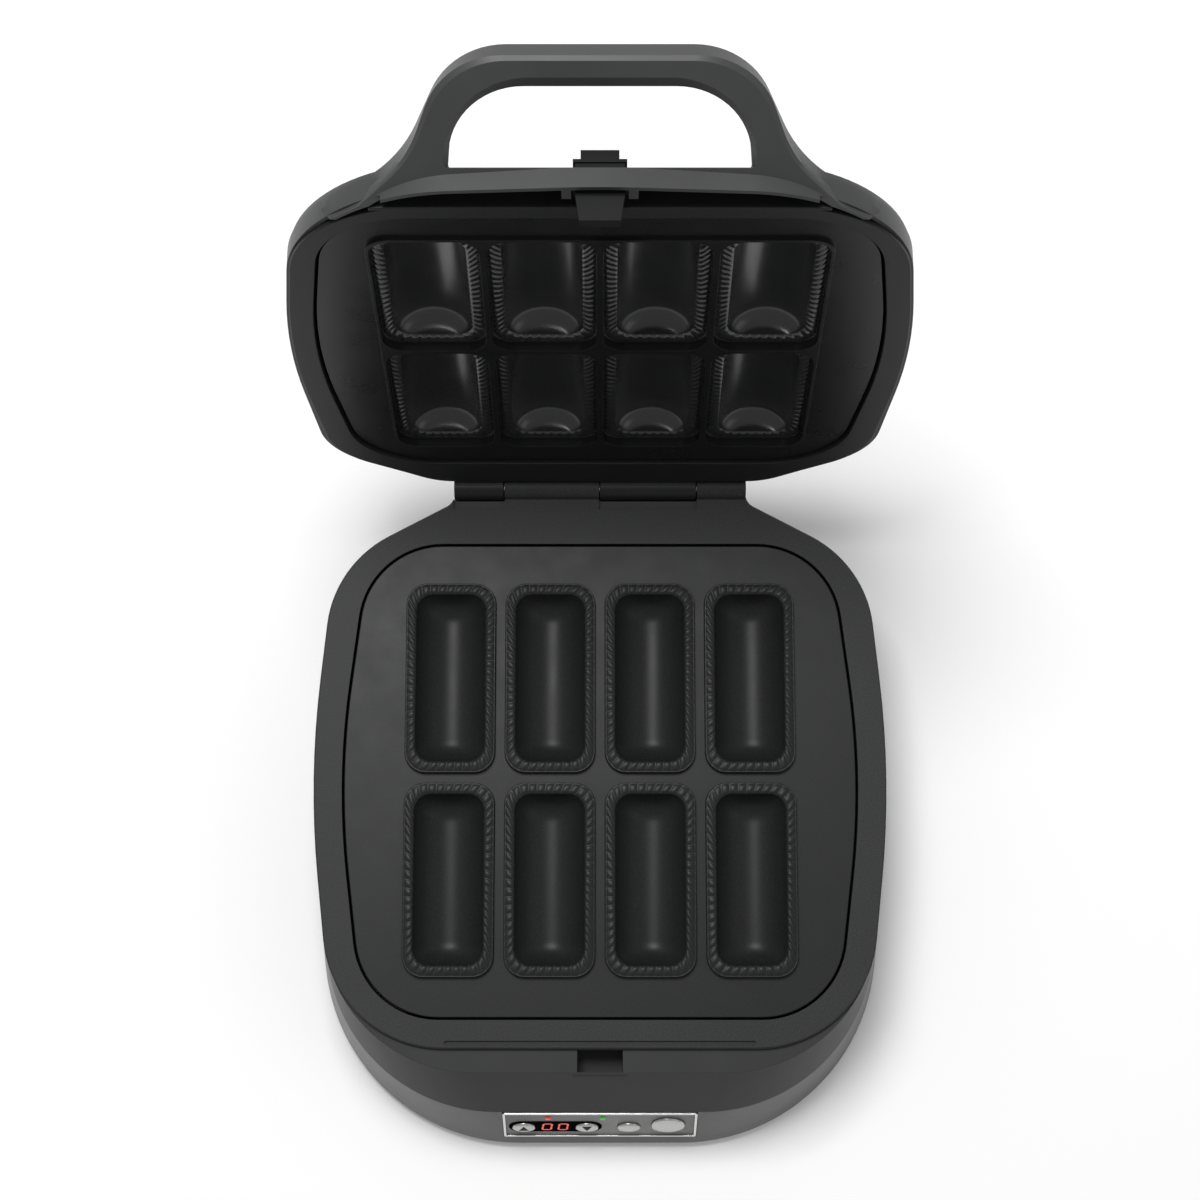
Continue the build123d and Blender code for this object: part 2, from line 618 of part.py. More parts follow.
def wall_outline(plane, inset=0.0):
    """Plan outline of the lid's upright wall."""
    lean = FRONT_LEAN * LID_BOW
    front_x = (LID_WAIST_X - FRONT_LEAN * (LID_APEX - WAIST_S)) / (1 - lean)
    right = [
        (front_x, LID_BOW * front_x - LID_APEX),
        (LID_WAIST_X, -WAIST_S),
        (SHOULDER_X, -SHOULDER_S),
        (LID_NECK_HALF, -LID_REAR),
    ]
    radii = [LID_CORNER, WAIST_RADIUS, LID_SHOULDER_RADIUS, 30]
    return bowed_outline(plane, LID_APEX, 300, right, radii, inset)


def crown_outline(plane, inset=0.0):
    """Plan outline of the lid's top, inside its sloping shoulders."""
    right = [(CROWN_HALF - 10, -250), (CROWN_HALF + 3, -150), (CROWN_HALF - 8, -64), (58, -27)]
    return bowed_outline(plane, 254, 300, right, [66, 240, 40, 25], inset)


def dome(inset):
    """The lid's cap as a solid, or with an inset the space inside it."""
    fall = (CREST_N - SLOPE_FOOT_N) / (SLOPE_FOOT_S - CREST_S)
    drop = inset * hypot(1, fall)
    reach = 30
    profile = [
        (-reach, CROWN_N - inset - 7),
        (CROWN_S, CROWN_N - inset),
        (CREST_S, CREST_N - inset),
        (SLOPE_FOOT_S + reach, SLOPE_FOOT_N - drop - reach * fall),
    ]
    wall_top = WALL_TOP - inset / 2
    with BuildPart() as cap:
        extrude(wall_outline(LID.offset(-reach), inset), amount=reach + wall_top - EASE)
        eased = [
            wall_outline(LID.offset(wall_top - EASE), inset),
            wall_outline(LID.offset(wall_top), inset + EASE / 3),
        ]
        loft(eased, ruled=True)
        shoulders = [
            wall_outline(LID.offset(wall_top), inset + EASE / 3),
            crown_outline(LID.offset(CROWN_N + 4 - inset), inset),
        ]
        loft(shoulders, ruled=True)
        with BuildSketch(side_plane(LID)):
            with BuildLine():
                FilletPolyline(*profile, radius=[CROWN_RADIUS, CREST_RADIUS])
                Polyline(profile[-1], (SLOPE_FOOT_S + reach, -reach), (-reach, -reach), profile[0])
            make_face()
        extrude(amount=200, both=True, mode=Mode.INTERSECT)
    return cap.part


def grip_outline(plane, corner, root, end, grow=0.0):
    """Loop of the handle without its finger opening; root and end set how its legs flare."""
    right = [end, (root[0] + grow, root[1]), (corner[0] + grow, corner[1] + grow)]
    left = [(-x, y) for x, y in reversed(right)]
    with BuildSketch(plane) as sketch:
        with BuildLine():
            FilletPolyline(*right, *left, radius=[ROOT_BEND, GRIP_CORNER, GRIP_CORNER, ROOT_BEND])
            Line(left[-1], right[0])
        make_face()
    return sketch.sketch


def grip_opening(plane, half, foot, top, corner):
    """Finger opening of the handle."""
    right = [(half, foot), (half - 4, top)]
    with BuildSketch(plane) as sketch:
        with BuildLine():
            FilletPolyline(*mirrored(right), radius=[3, corner, corner, 3], close=True)
        make_face()
    return sketch.sketch


outer_cap = dome(0)
inner_cap = dome(WALL)

with BuildPart() as grip:
    skin = HANDLE.offset(GRIP_EASE)
    back = HANDLE.offset(HANDLE_THICK - GRIP_EASE)
    low = grip_outline(HANDLE, GRIP_LOW, ROOT_LOW, ROOT_LOW_END, -GRIP_EASE)
    middle = grip_outline(skin, GRIP_LOW, ROOT_LOW, ROOT_LOW_END)
    high = grip_outline(back, GRIP_HIGH, ROOT_HIGH, ROOT_HIGH_END)
    crest = grip_outline(HANDLE.offset(HANDLE_THICK), GRIP_HIGH, ROOT_HIGH, ROOT_HIGH_END, -GRIP_EASE)
    loft([low, middle, high, crest], ruled=True)
    seam = HANDLE.offset(GRIP_SKIN)
    bevel = [
        grip_opening(HANDLE, OPENING_HALF + 1.5, OPENING_FOOT, OPENING_TOP + GRIP_BEVEL, 38),
        grip_opening(seam, OPENING_HALF, OPENING_DEEP, OPENING_TOP, 33),
    ]
    loft(bevel, ruled=True, mode=Mode.SUBTRACT)
    extrude(
        grip_opening(seam, OPENING_HALF, OPENING_DEEP, OPENING_TOP, 33),
        amount=HANDLE_THICK,
        mode=Mode.SUBTRACT,
    )
    split(bisect_by=LID.offset(LID_GAP), keep=Keep.TOP)
    add(inner_cap, mode=Mode.SUBTRACT)

# front of the lid that goes with the handle's under cover
with BuildPart() as nose:
    extrude(rectangle(LID.offset(LID_GAP), -NOSE_HALF, NOSE_HALF, 285, 330), amount=6)
    extrude(rectangle(LID.offset(LID_GAP), -NOSE_HALF, NOSE_HALF, NOSE_S, 330), amount=50)

latch_slot = rectangle(LID.offset(9), -SLOT_HALF - 0.4, SLOT_HALF + 0.4, 298.5, LATCH_ROOM)

with BuildPart() as lid_top_cover:
    add(outer_cap)
    add(inner_cap, mode=Mode.SUBTRACT)
    split(bisect_by=LID.offset(COVER_BOTTOM), keep=Keep.TOP)
    add(nose.part, mode=Mode.SUBTRACT)
    add(split(grip.part, bisect_by=HANDLE.offset(GRIP_SKIN), keep=Keep.TOP, mode=Mode.PRIVATE))
    extrude(latch_slot, amount=30, mode=Mode.SUBTRACT)
    extrude(
        disc(side_plane(LID, NECK_HALF + 1), SCOOP, (0, 0)),
        amount=2 * NECK_HALF + 2,
        mode=Mode.SUBTRACT,
    )
lid_top_cover.part.label = "lid_top_cover"
export_step(lid_top_cover.part, "parts/lid_top_cover.step")

with BuildPart() as handle_under_cover:
    add(outer_cap)
    add(inner_cap, mode=Mode.SUBTRACT)
    add(nose.part, mode=Mode.INTERSECT)
    add(split(grip.part, bisect_by=HANDLE.offset(GRIP_SKIN), keep=Keep.BOTTOM, mode=Mode.PRIVATE))
    add(lid_top_cover.part, mode=Mode.SUBTRACT)
    extrude(latch_slot, amount=30, mode=Mode.SUBTRACT)
    rib_rear = NOSE_S - 1.5
    rib_front = LATCH_ROOM - 0.5
    rib_foot = LID_GAP + 1
    for end in (-RIB_START, RIB_END):
        rib = side_shape(
            side_plane(LID, end),
            (rib_rear, rib_foot),
            (rib_front, rib_foot),
            (rib_front, RIB_TOP),
            (rib_rear, RIB_TOP),
        )
        extrude(rib, amount=RIB_END - RIB_START)
    extrude(
        disc(side_plane(LID, LATCH_PIN), PIN_BORE, (LATCH_S, LATCH_N)),
        amount=2 * LATCH_PIN,
        mode=Mode.SUBTRACT,
    )
handle_under_cover.part.label = "handle_under_cover"
export_step(handle_under_cover.part, "parts/handle_under_cover.step")

with BuildPart() as latch_lever:
    tongue = side_shape(
        side_plane(LID, TONGUE_HALF),
        (TONGUE_REAR, TONGUE_TIP),
        (TONGUE_FRONT, TONGUE_TIP),
        (TONGUE_FRONT, COLLAR_TOP),
        (TONGUE_REAR, COLLAR_TOP),
    )
    extrude(tongue, amount=2 * TONGUE_HALF)
    hook = side_shape(
        side_plane(LID, TONGUE_TIP_HALF),
        (HOOK_REAR, TONGUE_TIP),
        (TONGUE_REAR, TONGUE_TIP),
        (TONGUE_REAR, HOOK_TOP),
        (HOOK_REAR, HOOK_TOP),
    )
    extrude(hook, amount=2 * TONGUE_TIP_HALF)
    collar = side_shape(
        side_plane(LID, SLOT_HALF),
        (TONGUE_REAR, COLLAR_FOOT),
        (COLLAR_FRONT, COLLAR_FOOT),
        (COLLAR_FRONT, COLLAR_TOP),
        (TONGUE_REAR, COLLAR_TOP),
    )
    extrude(collar, amount=2 * SLOT_HALF)
    knob = side_shape(
        side_plane(LID, KNOB_HALF),
        (KNOB_REAR, COLLAR_TOP),
        (TONGUE_FRONT, COLLAR_TOP),
        (TONGUE_FRONT, KNOB_TOP - 1),
        (TONGUE_FRONT - 1, KNOB_TOP),
        (KNOB_REAR + 1, KNOB_TOP),
        (KNOB_REAR, KNOB_TOP - 1),
    )
    extrude(knob, amount=2 * KNOB_HALF)
    # the tongue narrows towards its tip
    below = TONGUE_TIP - 1
    aside = 2 * TONGUE_HALF
    taper = [(TONGUE_HALF, 1), (TONGUE_TIP_HALF, below), (aside, below), (aside, 1)]
    for side in (-1, 1):
        with BuildSketch(Plane(origin=LID.origin, x_dir=LID.x_dir, z_dir=-LID.y_dir).offset(KNOB_REAR - 2)):
            with BuildLine():
                Polyline(*[(side * x, y) for x, y in taper], close=True)
            make_face()
        extrude(amount=14, mode=Mode.SUBTRACT)
    extrude(
        disc(side_plane(LID, SLOT_HALF), PIN_RUNNING, (LATCH_S, LATCH_N)),
        amount=2 * SLOT_HALF,
        mode=Mode.SUBTRACT,
    )
latch_lever.part.label = "latch_lever"
export_step(latch_lever.part, "parts/latch_lever.step")

with BuildPart() as latch_pin:
    extrude(disc(side_plane(LID, LATCH_PIN), LATCH_PIN_RADIUS, (LATCH_S, LATCH_N)), amount=2 * LATCH_PIN)
latch_pin.part.label = "latch_pin"
export_step(latch_pin.part, "parts/latch_pin.step")

with BuildPart() as lid_inner_frame:
    ring = LID.offset(LID_GAP)
    extrude(
        tray_outline(ring, RING_FRONT, RING_CORNER, RING_REAR, inset=RING_INSET),
        amount=RING_TOP - LID_GAP,
    )
    extrude(plate_outline(ring, PLATE_GAP + 2), amount=RING_COLLAR)
    # front wall that closes the cap behind the nose
    wall_front = RING_FRONT - RING_INSET
    extrude(rectangle(ring, -NOSE_HALF - 6, NOSE_HALF + 6, wall_front - WALL, wall_front), amount=12)
    for start, end in LID_KNUCKLES:
        lug = side_shape(side_plane(LID, end), (0, LID_GAP), (9, LID_GAP), (9, LUG_TOP), (0, LUG_TOP))
        extrude(lug, amount=end - start)
        extrude(disc(side_plane(LID, end), BARREL_RADIUS, (0, 0)), amount=end - start)
    extrude(plate_outline(LID, PLATE_GAP), amount=2 * RING_COLLAR, mode=Mode.SUBTRACT)
    extrude(
        disc(side_plane(LID, PIN_END), PIN_RADIUS + RUNNING_FIT, (0, 0)),
        amount=PIN_END - PIN_START + 4,
        mode=Mode.SUBTRACT,
    )
lid_inner_frame.part.label = "lid_inner_frame"
export_step(lid_inner_frame.part, "parts/lid_inner_frame.step")

upper_heating_element = element(LID, UPPER_FLANGE + CAST + ELEMENT_RADIUS)
upper_heating_element.part.label = "upper_heating_element"
export_step(upper_heating_element.part, "parts/upper_heating_element.step")

with BuildPart() as upper_reflector:
    extrude(block_outline(LID.offset(UPPER_REFLECTOR_LEVEL), 1), amount=SHEET)
upper_reflector.part.label = "upper_reflector"
export_step(upper_reflector.part, "parts/upper_reflector.step")

upper_temperature_sensor = sensor(LID, BLOCK_MIDDLE, LAND_LEVEL + CAST, 18)
upper_temperature_sensor.part.label = "upper_temperature_sensor"
export_step(upper_temperature_sensor.part, "parts/upper_temperature_sensor.step")

with BuildPart() as thermal_fuse:
    extrude(disc(side_plane(LID, 16), 2.5, (277, UPPER_FLANGE + CAST + 2.5)), amount=32)
thermal_fuse.part.label = "thermal_fuse"
export_step(thermal_fuse.part, "parts/thermal_fuse.step")

# ---------------------------------------------------------------- power electronics and cord gland
with BuildPart() as power_board:
    extrude(rectangle(BASE.offset(-62), -50, 50, 30, 96), amount=1.6)
power_board.part.label = "power_board"
export_step(power_board.part, "parts/power_board.step")

with BuildPart() as mains_relay:
    extrude(rectangle(BASE.offset(-60.4), 14, 34, 40, 56), amount=15)
mains_relay.part.label = "mains_relay"
export_step(mains_relay.part, "parts/mains_relay.step")

with BuildPart() as transformer:
    extrude(rectangle(BASE.offset(-60.4), -38, -8, 44, 70), amount=22)
transformer.part.label = "transformer"
export_step(transformer.part, "parts/transformer.step")

with BuildPart() as cord_gland:
    extrude(disc(rear_wall.offset(-4), GLAND_RADIUS - 0.2, (0, 0)), amount=8)
    extrude(disc(rear_wall, GLAND_RADIUS + 2, (0, 0)), amount=3)
    extrude(disc(rear_wall.offset(3), GLAND_RADIUS - 2, (0, 0)), amount=6)
    extrude(disc(rear_wall.offset(-4), CORD_RADIUS, (0, 0)), amount=20, mode=Mode.SUBTRACT)
cord_gland.part.label = "cord_gland"
export_step(cord_gland.part, "parts/cord_gland.step")
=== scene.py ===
"""Looks of an electric pie maker, standing open on a pale floor."""

import json
import math
from types import SimpleNamespace

import bmesh
import bpy
import numpy as np
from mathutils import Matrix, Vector


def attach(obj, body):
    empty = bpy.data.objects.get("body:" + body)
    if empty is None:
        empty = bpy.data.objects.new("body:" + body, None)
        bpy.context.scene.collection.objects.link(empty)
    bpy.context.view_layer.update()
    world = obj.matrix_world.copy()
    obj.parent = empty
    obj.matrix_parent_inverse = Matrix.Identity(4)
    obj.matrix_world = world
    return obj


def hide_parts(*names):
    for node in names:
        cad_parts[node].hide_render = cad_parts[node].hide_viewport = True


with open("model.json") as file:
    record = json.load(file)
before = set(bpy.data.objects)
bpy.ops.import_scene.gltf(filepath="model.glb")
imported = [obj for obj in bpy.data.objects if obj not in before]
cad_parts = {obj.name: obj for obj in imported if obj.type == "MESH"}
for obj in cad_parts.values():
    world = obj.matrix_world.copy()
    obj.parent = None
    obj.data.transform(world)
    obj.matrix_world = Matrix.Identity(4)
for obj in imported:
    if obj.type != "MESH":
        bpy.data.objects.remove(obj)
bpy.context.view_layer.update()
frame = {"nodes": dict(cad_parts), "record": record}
NODES = frame["nodes"]

MM = 0.001
HINGE_Y, HINGE_Z = 0.116, 0.080  # hinge pin, in metres
OPEN = math.radians(101)  # how far the lid stands open at rest


# ---------------------------------------------------------------- shader expressions
class Wire:
    """A shader socket that takes part in ordinary arithmetic, each operator adding a Math node."""

    def __init__(self, tree, socket):
        self.tree, self.socket = tree, socket

    def math(self, operation, *others, clamp=False):
        node = self.tree.nodes.new("ShaderNodeMath")
        node.operation = operation
        node.use_clamp = clamp
        for place, value in enumerate((self, *others)):
            if isinstance(value, Wire):
                self.tree.links.new(value.socket, node.inputs[place])
            else:
                node.inputs[place].default_value = value
        return Wire(self.tree, node.outputs[0])

    def __add__(self, other):
        return self.math("ADD", other)

    __radd__ = __add__

    def __mul__(self, other):
        return self.math("MULTIPLY", other)

    def __sub__(self, other):
        return self.math("SUBTRACT", other)

    def __rsub__(self, other):
        return self * -1.0 + other

    def __truediv__(self, other):
        return self.math("DIVIDE", other)

    def __pow__(self, other):
        return self.math("POWER", other)

    def clip(self):
        return self.math("ADD", 0.0, clamp=True)

    def abs(self):
        return self.math("ABSOLUTE")

    def step(self, edge, width):
        """0 below edge, 1 above edge + width, straight between."""
        return ((self - edge) / width).clip()


FINISHES = {}


class Finish:
    """A material whose nodes are written as expressions on wires."""

    def __init__(self, name, color, roughness, metallic=0.0, **constants):
        self.material = bpy.data.materials.new(name)
        self.material.use_nodes = True
        self.tree = self.material.node_tree
        self.shader = self.tree.nodes["Principled BSDF"]
        self.set("Base Color", (*color, 1.0))
        self.set("Roughness", roughness)
        self.set("Metallic", metallic)
        for socket, value in constants.items():
            self.set(socket.replace("_", " "), value)
        self.material.diffuse_color = (*color, 1.0)
        FINISHES[name] = self

    def node(self, kind, settings=None, output=0, **sockets):
        """Any node: its settings are set first, then its sockets take values or wires.

        A socket is named in words, or by its number after the letter i.
        """
        node = self.tree.nodes.new(kind)
        for key, value in (settings or {}).items():
            setattr(node, key, value)
        for key, value in sockets.items():
            place = int(key[1:]) if key[1:].isdigit() else key.replace("_", " ")
            if isinstance(value, Wire):
                self.tree.links.new(value.socket, node.inputs[place])
            else:
                node.inputs[place].default_value = value
        return Wire(self.tree, node.outputs[output])

    def set(self, socket, value):
        if isinstance(value, Wire):
            self.tree.links.new(value.socket, self.shader.inputs[socket])
        else:
            self.shader.inputs[socket].default_value = value

    def place(self):
        """Object coordinates as a vector."""
        return self.node("ShaderNodeTexCoord", output=3)

    def across(self):
        """The coordinate from left to right as a number."""
        return self.node("ShaderNodeSeparateXYZ", Vector=self.place())

    def stretched(self, scale):
        """Object coordinates stretched along the three axes."""
        return self.node("ShaderNodeMapping", Vector=self.place(), Scale=scale)

    def noise(self, scale, detail=3.0, roughness=0.55, vector=None):
        return self.node(
            "ShaderNodeTexNoise",
            Vector=vector or self.place(),
            Scale=scale,
            Detail=detail,
            Roughness=roughness,
        )

    def grains(self, scale):
        """Distance to the nearest of a scatter of points."""
        return self.node("ShaderNodeTexVoronoi", Vector=self.place(), Scale=scale)

    def blend(self, factor, a, b):
        """Colour a where factor is 0, colour b where it is 1."""
        a, b = (color if isinstance(color, Wire) else (*color, 1.0) for color in (a, b))
        return self.node("ShaderNodeMix", {"data_type": "RGBA"}, output=2, i0=factor, i6=a, i7=b)

    def bump(self, height, strength, distance):
        self.set(
            "Normal",
            self.node("ShaderNodeBump", Strength=strength, Distance=distance, Height=height),
        )


# ---------------------------------------------------------------- finishes
def grained_plastic(name, dark, light, roughness, depth):
    """Moulded plastic with a fine spark-eroded grain, depth metres deep."""
    finish = Finish(name, dark, roughness, Specular_IOR_Level=0.2)
    speckle = finish.noise(1500.0, 2.0, 0.7)
    drift = finish.noise(18.0, 2.0)
    tone = (speckle.step(0.42, 0.3) * 0.75 + drift * 0.25).clip()
    finish.set("Base Color", finish.blend(tone, dark, light))
    finish.set("Roughness", roughness - 0.06 + speckle * 0.12)
    finish.bump(speckle, 0.5, depth)


def satin_plastic(name, dark, light, roughness, gloss=0.28):
    """Smooth satin moulding with faint cloudiness and handling marks."""
    finish = Finish(name, dark, roughness, Specular_IOR_Level=gloss)
    cloud = finish.noise(26.0, 4.0)
    pores = finish.noise(2600.0, 1.0)
    finish.set("Base Color", finish.blend(cloud.step(0.3, 0.4), dark, light))
    finish.set("Roughness", roughness - 0.05 + cloud * 0.1)
    finish.bump(pores, 0.12, 0.00006)


def cast_coating(name, low, high, roughness, gloss):
    """Non-stick coating: a near-black film with fine speckle and slow waves of gloss."""
    coating = Finish(name, low, roughness, Specular_IOR_Level=gloss)
    speck = coating.noise(2400.0, 2.0, 0.8)
    flow = coating.noise(60.0, 3.0)
    coating.set("Base Color", coating.blend(speck.step(0.56, 0.12), low, high))
    coating.set("Roughness", roughness - 0.06 + flow * 0.12)
    coating.bump(speck * 0.6 + flow * 0.4, 0.25, 0.00005)


grained_plastic("textured_black", (0.0145, 0.0148, 0.015), (0.042, 0.0427, 0.0433), 0.5, 0.00008)
grained_plastic("ring_black", (0.009, 0.0092, 0.0094), (0.019, 0.0194, 0.0198), 0.42, 0.00005)
satin_plastic("cover_black", (0.041, 0.0418, 0.0418), (0.048, 0.0488, 0.0488), 0.42)
satin_plastic("band_black", (0.028, 0.0284, 0.0286), (0.034, 0.0344, 0.0346), 0.44, 0.16)
# Darker satin black for the latch, made darker still with painted shade for the tongue that hangs
# in the gap in front of the plate.
satin_plastic("latch_black", (0.006, 0.0063, 0.0063), (0.009, 0.0093, 0.0093), 0.40, 0.14)
satin_plastic("component_dark", (0.03, 0.03, 0.034), (0.05, 0.05, 0.055), 0.45)
cast_coating("cooking_coating", (0.0065, 0.0067, 0.0067), (0.018, 0.0186, 0.0186), 0.29, 0.27)
cast_coating("mould_coating", (0.014, 0.0145, 0.0145), (0.024, 0.0248, 0.0248), 0.24, 0.62)
cast_coating("lower_coating", (0.013, 0.0135, 0.0135), (0.036, 0.037, 0.037), 0.38, 0.16)

silver = Finish("silver_grey", (0.08, 0.081, 0.08), 0.36, 0.45, Specular_IOR_Level=0.25)
flake = silver.grains(3800.0).step(0.1, 0.5)
silver.set("Base Color", silver.blend(flake, (0.094, 0.0955, 0.094), (0.064, 0.065, 0.064)))
silver.set("Roughness", 0.32 + silver.noise(30.0) * 0.1)

# The fascia is brushed from side to side, and lighter in the middle as a painted highlight.
fascia = Finish("panel_grey", (0.075, 0.075, 0.073), 0.38, 0.6)
brushing = fascia.noise(1.0, 2.0, 0.6, fascia.stretched((60, 4200, 4200)))
painted_sheen = (1.0 - (fascia.across() * 11.0 - 0.1).abs().clip()) ** 1.5
brushed = fascia.blend(brushing, (0.05, 0.05, 0.049), (0.085, 0.085, 0.083))
fascia.set("Base Color", fascia.blend(painted_sheen * 0.5, brushed, (0.26, 0.26, 0.25)))
fascia.set("Roughness", 0.3 + brushing * 0.2)
fascia.bump(brushing, 0.15, 0.00003)

chrome = Finish("chrome_trim", (0.62, 0.62, 0.62), 0.12, 1.0)
chrome.set("Roughness", 0.07 + chrome.noise(90.0) * 0.1)

button = Finish("button_silver", (0.42, 0.42, 0.41), 0.24, 0.85)
polish = button.noise(700.0, 2.0, 0.5, button.stretched((1, 6, 6)))
button.set("Base Color", button.blend(polish, (0.40, 0.40, 0.39), (0.52, 0.52, 0.51)))
button.set("Roughness", 0.2 + polish * 0.12)

window = Finish("display_black", (0.004, 0.004, 0.0045), 0.22, Specular_IOR_Level=0.0)
window.set("Roughness", 0.18 + window.noise(45.0) * 0.08)

for name, tint, glow in (
    ("lamp_red", (0.62, 0.035, 0.02), 0.5),
    ("lamp_green", (0.03, 0.36, 0.035), 0.45),
    ("digit_red", (0.72, 0.045, 0.014), 0.75),
):
    lens = Finish(name, tint, 0.2, Emission_Strength=glow)
    facets = lens.grains(1500.0).step(0.2, 0.5)
    lens.set("Emission Color", lens.blend(facets, tint, tuple(part * 0.6 for part in tint)))

rubber = Finish("rubber_black", (0.022, 0.022, 0.022), 0.8, Specular_IOR_Level=0.3)
dust = rubber.noise(500.0, 3.0)
rubber.set("Base Color", rubber.blend(dust.step(0.5, 0.3), (0.02, 0.02, 0.02), (0.04, 0.04, 0.038)))
rubber.bump(dust, 0.3, 0.0001)

for name, low, high, rough in (
    ("steel", (0.45, 0.45, 0.44), (0.6, 0.6, 0.59), 0.28),
    ("reflector_aluminium", (0.6, 0.6, 0.6), (0.75, 0.75, 0.75), 0.33),
    ("element_sheath", (0.16, 0.14, 0.12), (0.3, 0.27, 0.22), 0.45),
):
    metal = Finish(name, low, rough, 1.0)
    grain = metal.noise(240.0, 3.0, 0.6, metal.stretched((0.4, 5, 5)))
    metal.set("Base Color", metal.blend(grain, low, high))
    metal.set("Roughness", rough - 0.08 + grain * 0.2)

board = Finish("board_green", (0.02, 0.12, 0.05), 0.4)
tracks = board.noise(220.0, 1.0).step(0.5, 0.05)
board.set("Base Color", board.blend(tracks, (0.015, 0.1, 0.045), (0.03, 0.17, 0.07)))

ink = Finish("dark_print", (0.03, 0.03, 0.03), 0.5, Specular_IOR_Level=0.05)
ink.set("Roughness", 0.45 + ink.noise(900.0) * 0.15)

slots = {part["node"]: part["material_slot"] for part in frame["record"]["subparts"]}
OWN_FINISH = {
    "lid_inner_frame": "ring_black",
    "base_upper_housing": "band_black",
    "latch_lever": "latch_black",
    "lower_cooking_plate": "lower_coating",
}
node_material = {name: FINISHES[OWN_FINISH.get(name, slots[name])].material for name in NODES}
for name, node in NODES.items():
    node.data.materials.clear()
    node.data.materials.append(node_material[name])

# Slots of the record for the finishes that it doesn't name.
record_slots = {material["slot"] for material in frame["record"]["materials"]}
slot_of = {name: name if name in record_slots else "display_black" for name in FINISHES}
slot_of.update(mould_coating="cooking_coating", lower_coating="cooking_coating")


# ---------------------------------------------------------------- places
# s runs forward from the hinge pin, and n or z up from it when the lid is shut.
LID_Y = Vector((0, math.cos(OPEN), -math.sin(OPEN)))  # towards the hinge in the lid's own frame
LID_Z = Vector((0, math.sin(OPEN), math.cos(OPEN)))


def lid_points(x, s, n):
    """Arrays of lid coordinates in millimetres as points in metres."""
    return np.stack(
        [
            x * MM,
            HINGE_Y + (n * LID_Z[1] - s * LID_Y[1]) * MM,
            HINGE_Z + (n * LID_Z[2] - s * LID_Y[2]) * MM,
        ],
        axis=-1,
    )


def base_points(x, s, z):
    """Arrays of base coordinates in millimetres as points in metres."""
    return np.stack([x * MM, HINGE_Y - s * MM, HINGE_Z + z * MM], axis=-1)


def lid_place(point):
    """A point in metres as lid coordinates in millimetres."""
    from_pin = point - Vector((0, HINGE_Y, HINGE_Z))
    return point[0] / MM, -from_pin.dot(LID_Y) / MM, from_pin.dot(LID_Z) / MM


def base_place(point):
    """A point in metres as base coordinates in millimetres."""
    return point[0] / MM, (HINGE_Y - point[1]) / MM, (point[2] - HINGE_Z) / MM


# ---------------------------------------------------------------- mesh building
def grid_faces(rows, columns, closed="", flip=False):
    """Quads between neighbours of a grid of points, joined round along u, its rows, or v."""
    index = np.arange(rows * columns).reshape(rows, columns)
    if closed == "u":
        index = np.concatenate([index, index[:1]], axis=0)
    if closed == "v":
        index = np.concatenate([index, index[:, :1]], axis=1)
    quads = np.stack([index[:-1, :-1], index[1:, :-1], index[1:, 1:], index[:-1, 1:]], axis=-1)
    quads = quads.reshape(-1, 4)
    return quads[:, ::-1] if flip else quads


def mesh_piece(name, points, faces, finish, body, smooth=True):
    """A new piece that rides on a body, from an array of points and lists of corners."""
    mesh = bpy.data.meshes.new(name)
    mesh.from_pydata(points.tolist(), [], faces)
    mesh.polygons.foreach_set("use_smooth", [smooth] * len(mesh.polygons))
    mesh.update()
    piece = bpy.data.objects.new(name, mesh)
    bpy.context.scene.collection.objects.link(piece)
    piece.data.materials.append(FINISHES[finish].material)
    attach(piece, body)
    return piece


# ---------------------------------------------------------------- mould blocks
# Both plates have four moulds across and two along. Sizes are in millimetres, halves for pairs.
PITCH_X, PITCH_S = 53.3, 107.7
BLOCK_MIDDLE = 158.3  # middle of the block, in front of the hinge pin
MOULD_HALF, MOULD_CORNER = (18.6, 45.2), 9.0  # inner edge of a crimped border
CRIMP_CORNER, PAD_CORNER = 10.4, 11.0
EDGE_SUNK, RIM_SUNK = 0.25, 0.02  # inner and outer edge of a border, below the pad's level
TEETH, LEAN = 58, 0.8  # teeth round one border, and how many of them each leans past
BAND_HIGH, TOOTH_HIGH, TOOTH_LOSS = 0.3, 0.86, 0.45  # the loss is the outer end's, as a part
ARC_LEVEL, ARC_RADIUS = 4.6, 19.2  # a mould's arc starts this far from its middle's level

# Limits and tolerances for finding the faces of the solid's faceted hollow and flat pad.
HOLLOW_RADIUS, HOLLOW_HALF, HOLLOW_LEVEL = 19.55, 45.6, 4.5
FACE_DEEPER, LEVEL_NEAR, PAD_NEAR = 0.2, 0.02, 0.05

# direction is the side of the pad's level that the teeth stand on. axis is the level of the
# solid's round hollow, deep the mould's depth, and run the length over which it rises at its ends.
UPPER = SimpleNamespace(
    level=5.5,
    direction=-1.0,
    axis=0.9,
    crimp=(24.8, 52.0),
    pad=(25.15, 52.35),
    deep=11.4,
    run=9.0,
    points=lid_points,
    place=lid_place,
    body="lid",
    finish="mould_coating",
)
LOWER = SimpleNamespace(
    level=3.5,
    direction=1.0,
    axis=8.1,
    crimp=(23.4, 50.6),
    pad=(23.85, 51.05),
    deep=14.6,
    run=13.0,
    points=base_points,
    place=base_place,
    body="base",
    finish="lower_coating",
)
PLATES = {"upper_cooking_plate": UPPER, "lower_cooking_plate": LOWER}


def from_mould(point, plate):
    """How far a point is from the middle of the nearest mould, and its level, in millimetres."""
    x, s, n = plate.place(point)
    column = min(max(round(x / PITCH_X + 1.5), 0), 3)
    return abs(x - (column - 1.5) * PITCH_X), abs(abs(s - BLOCK_MIDDLE) - PITCH_S / 2), n


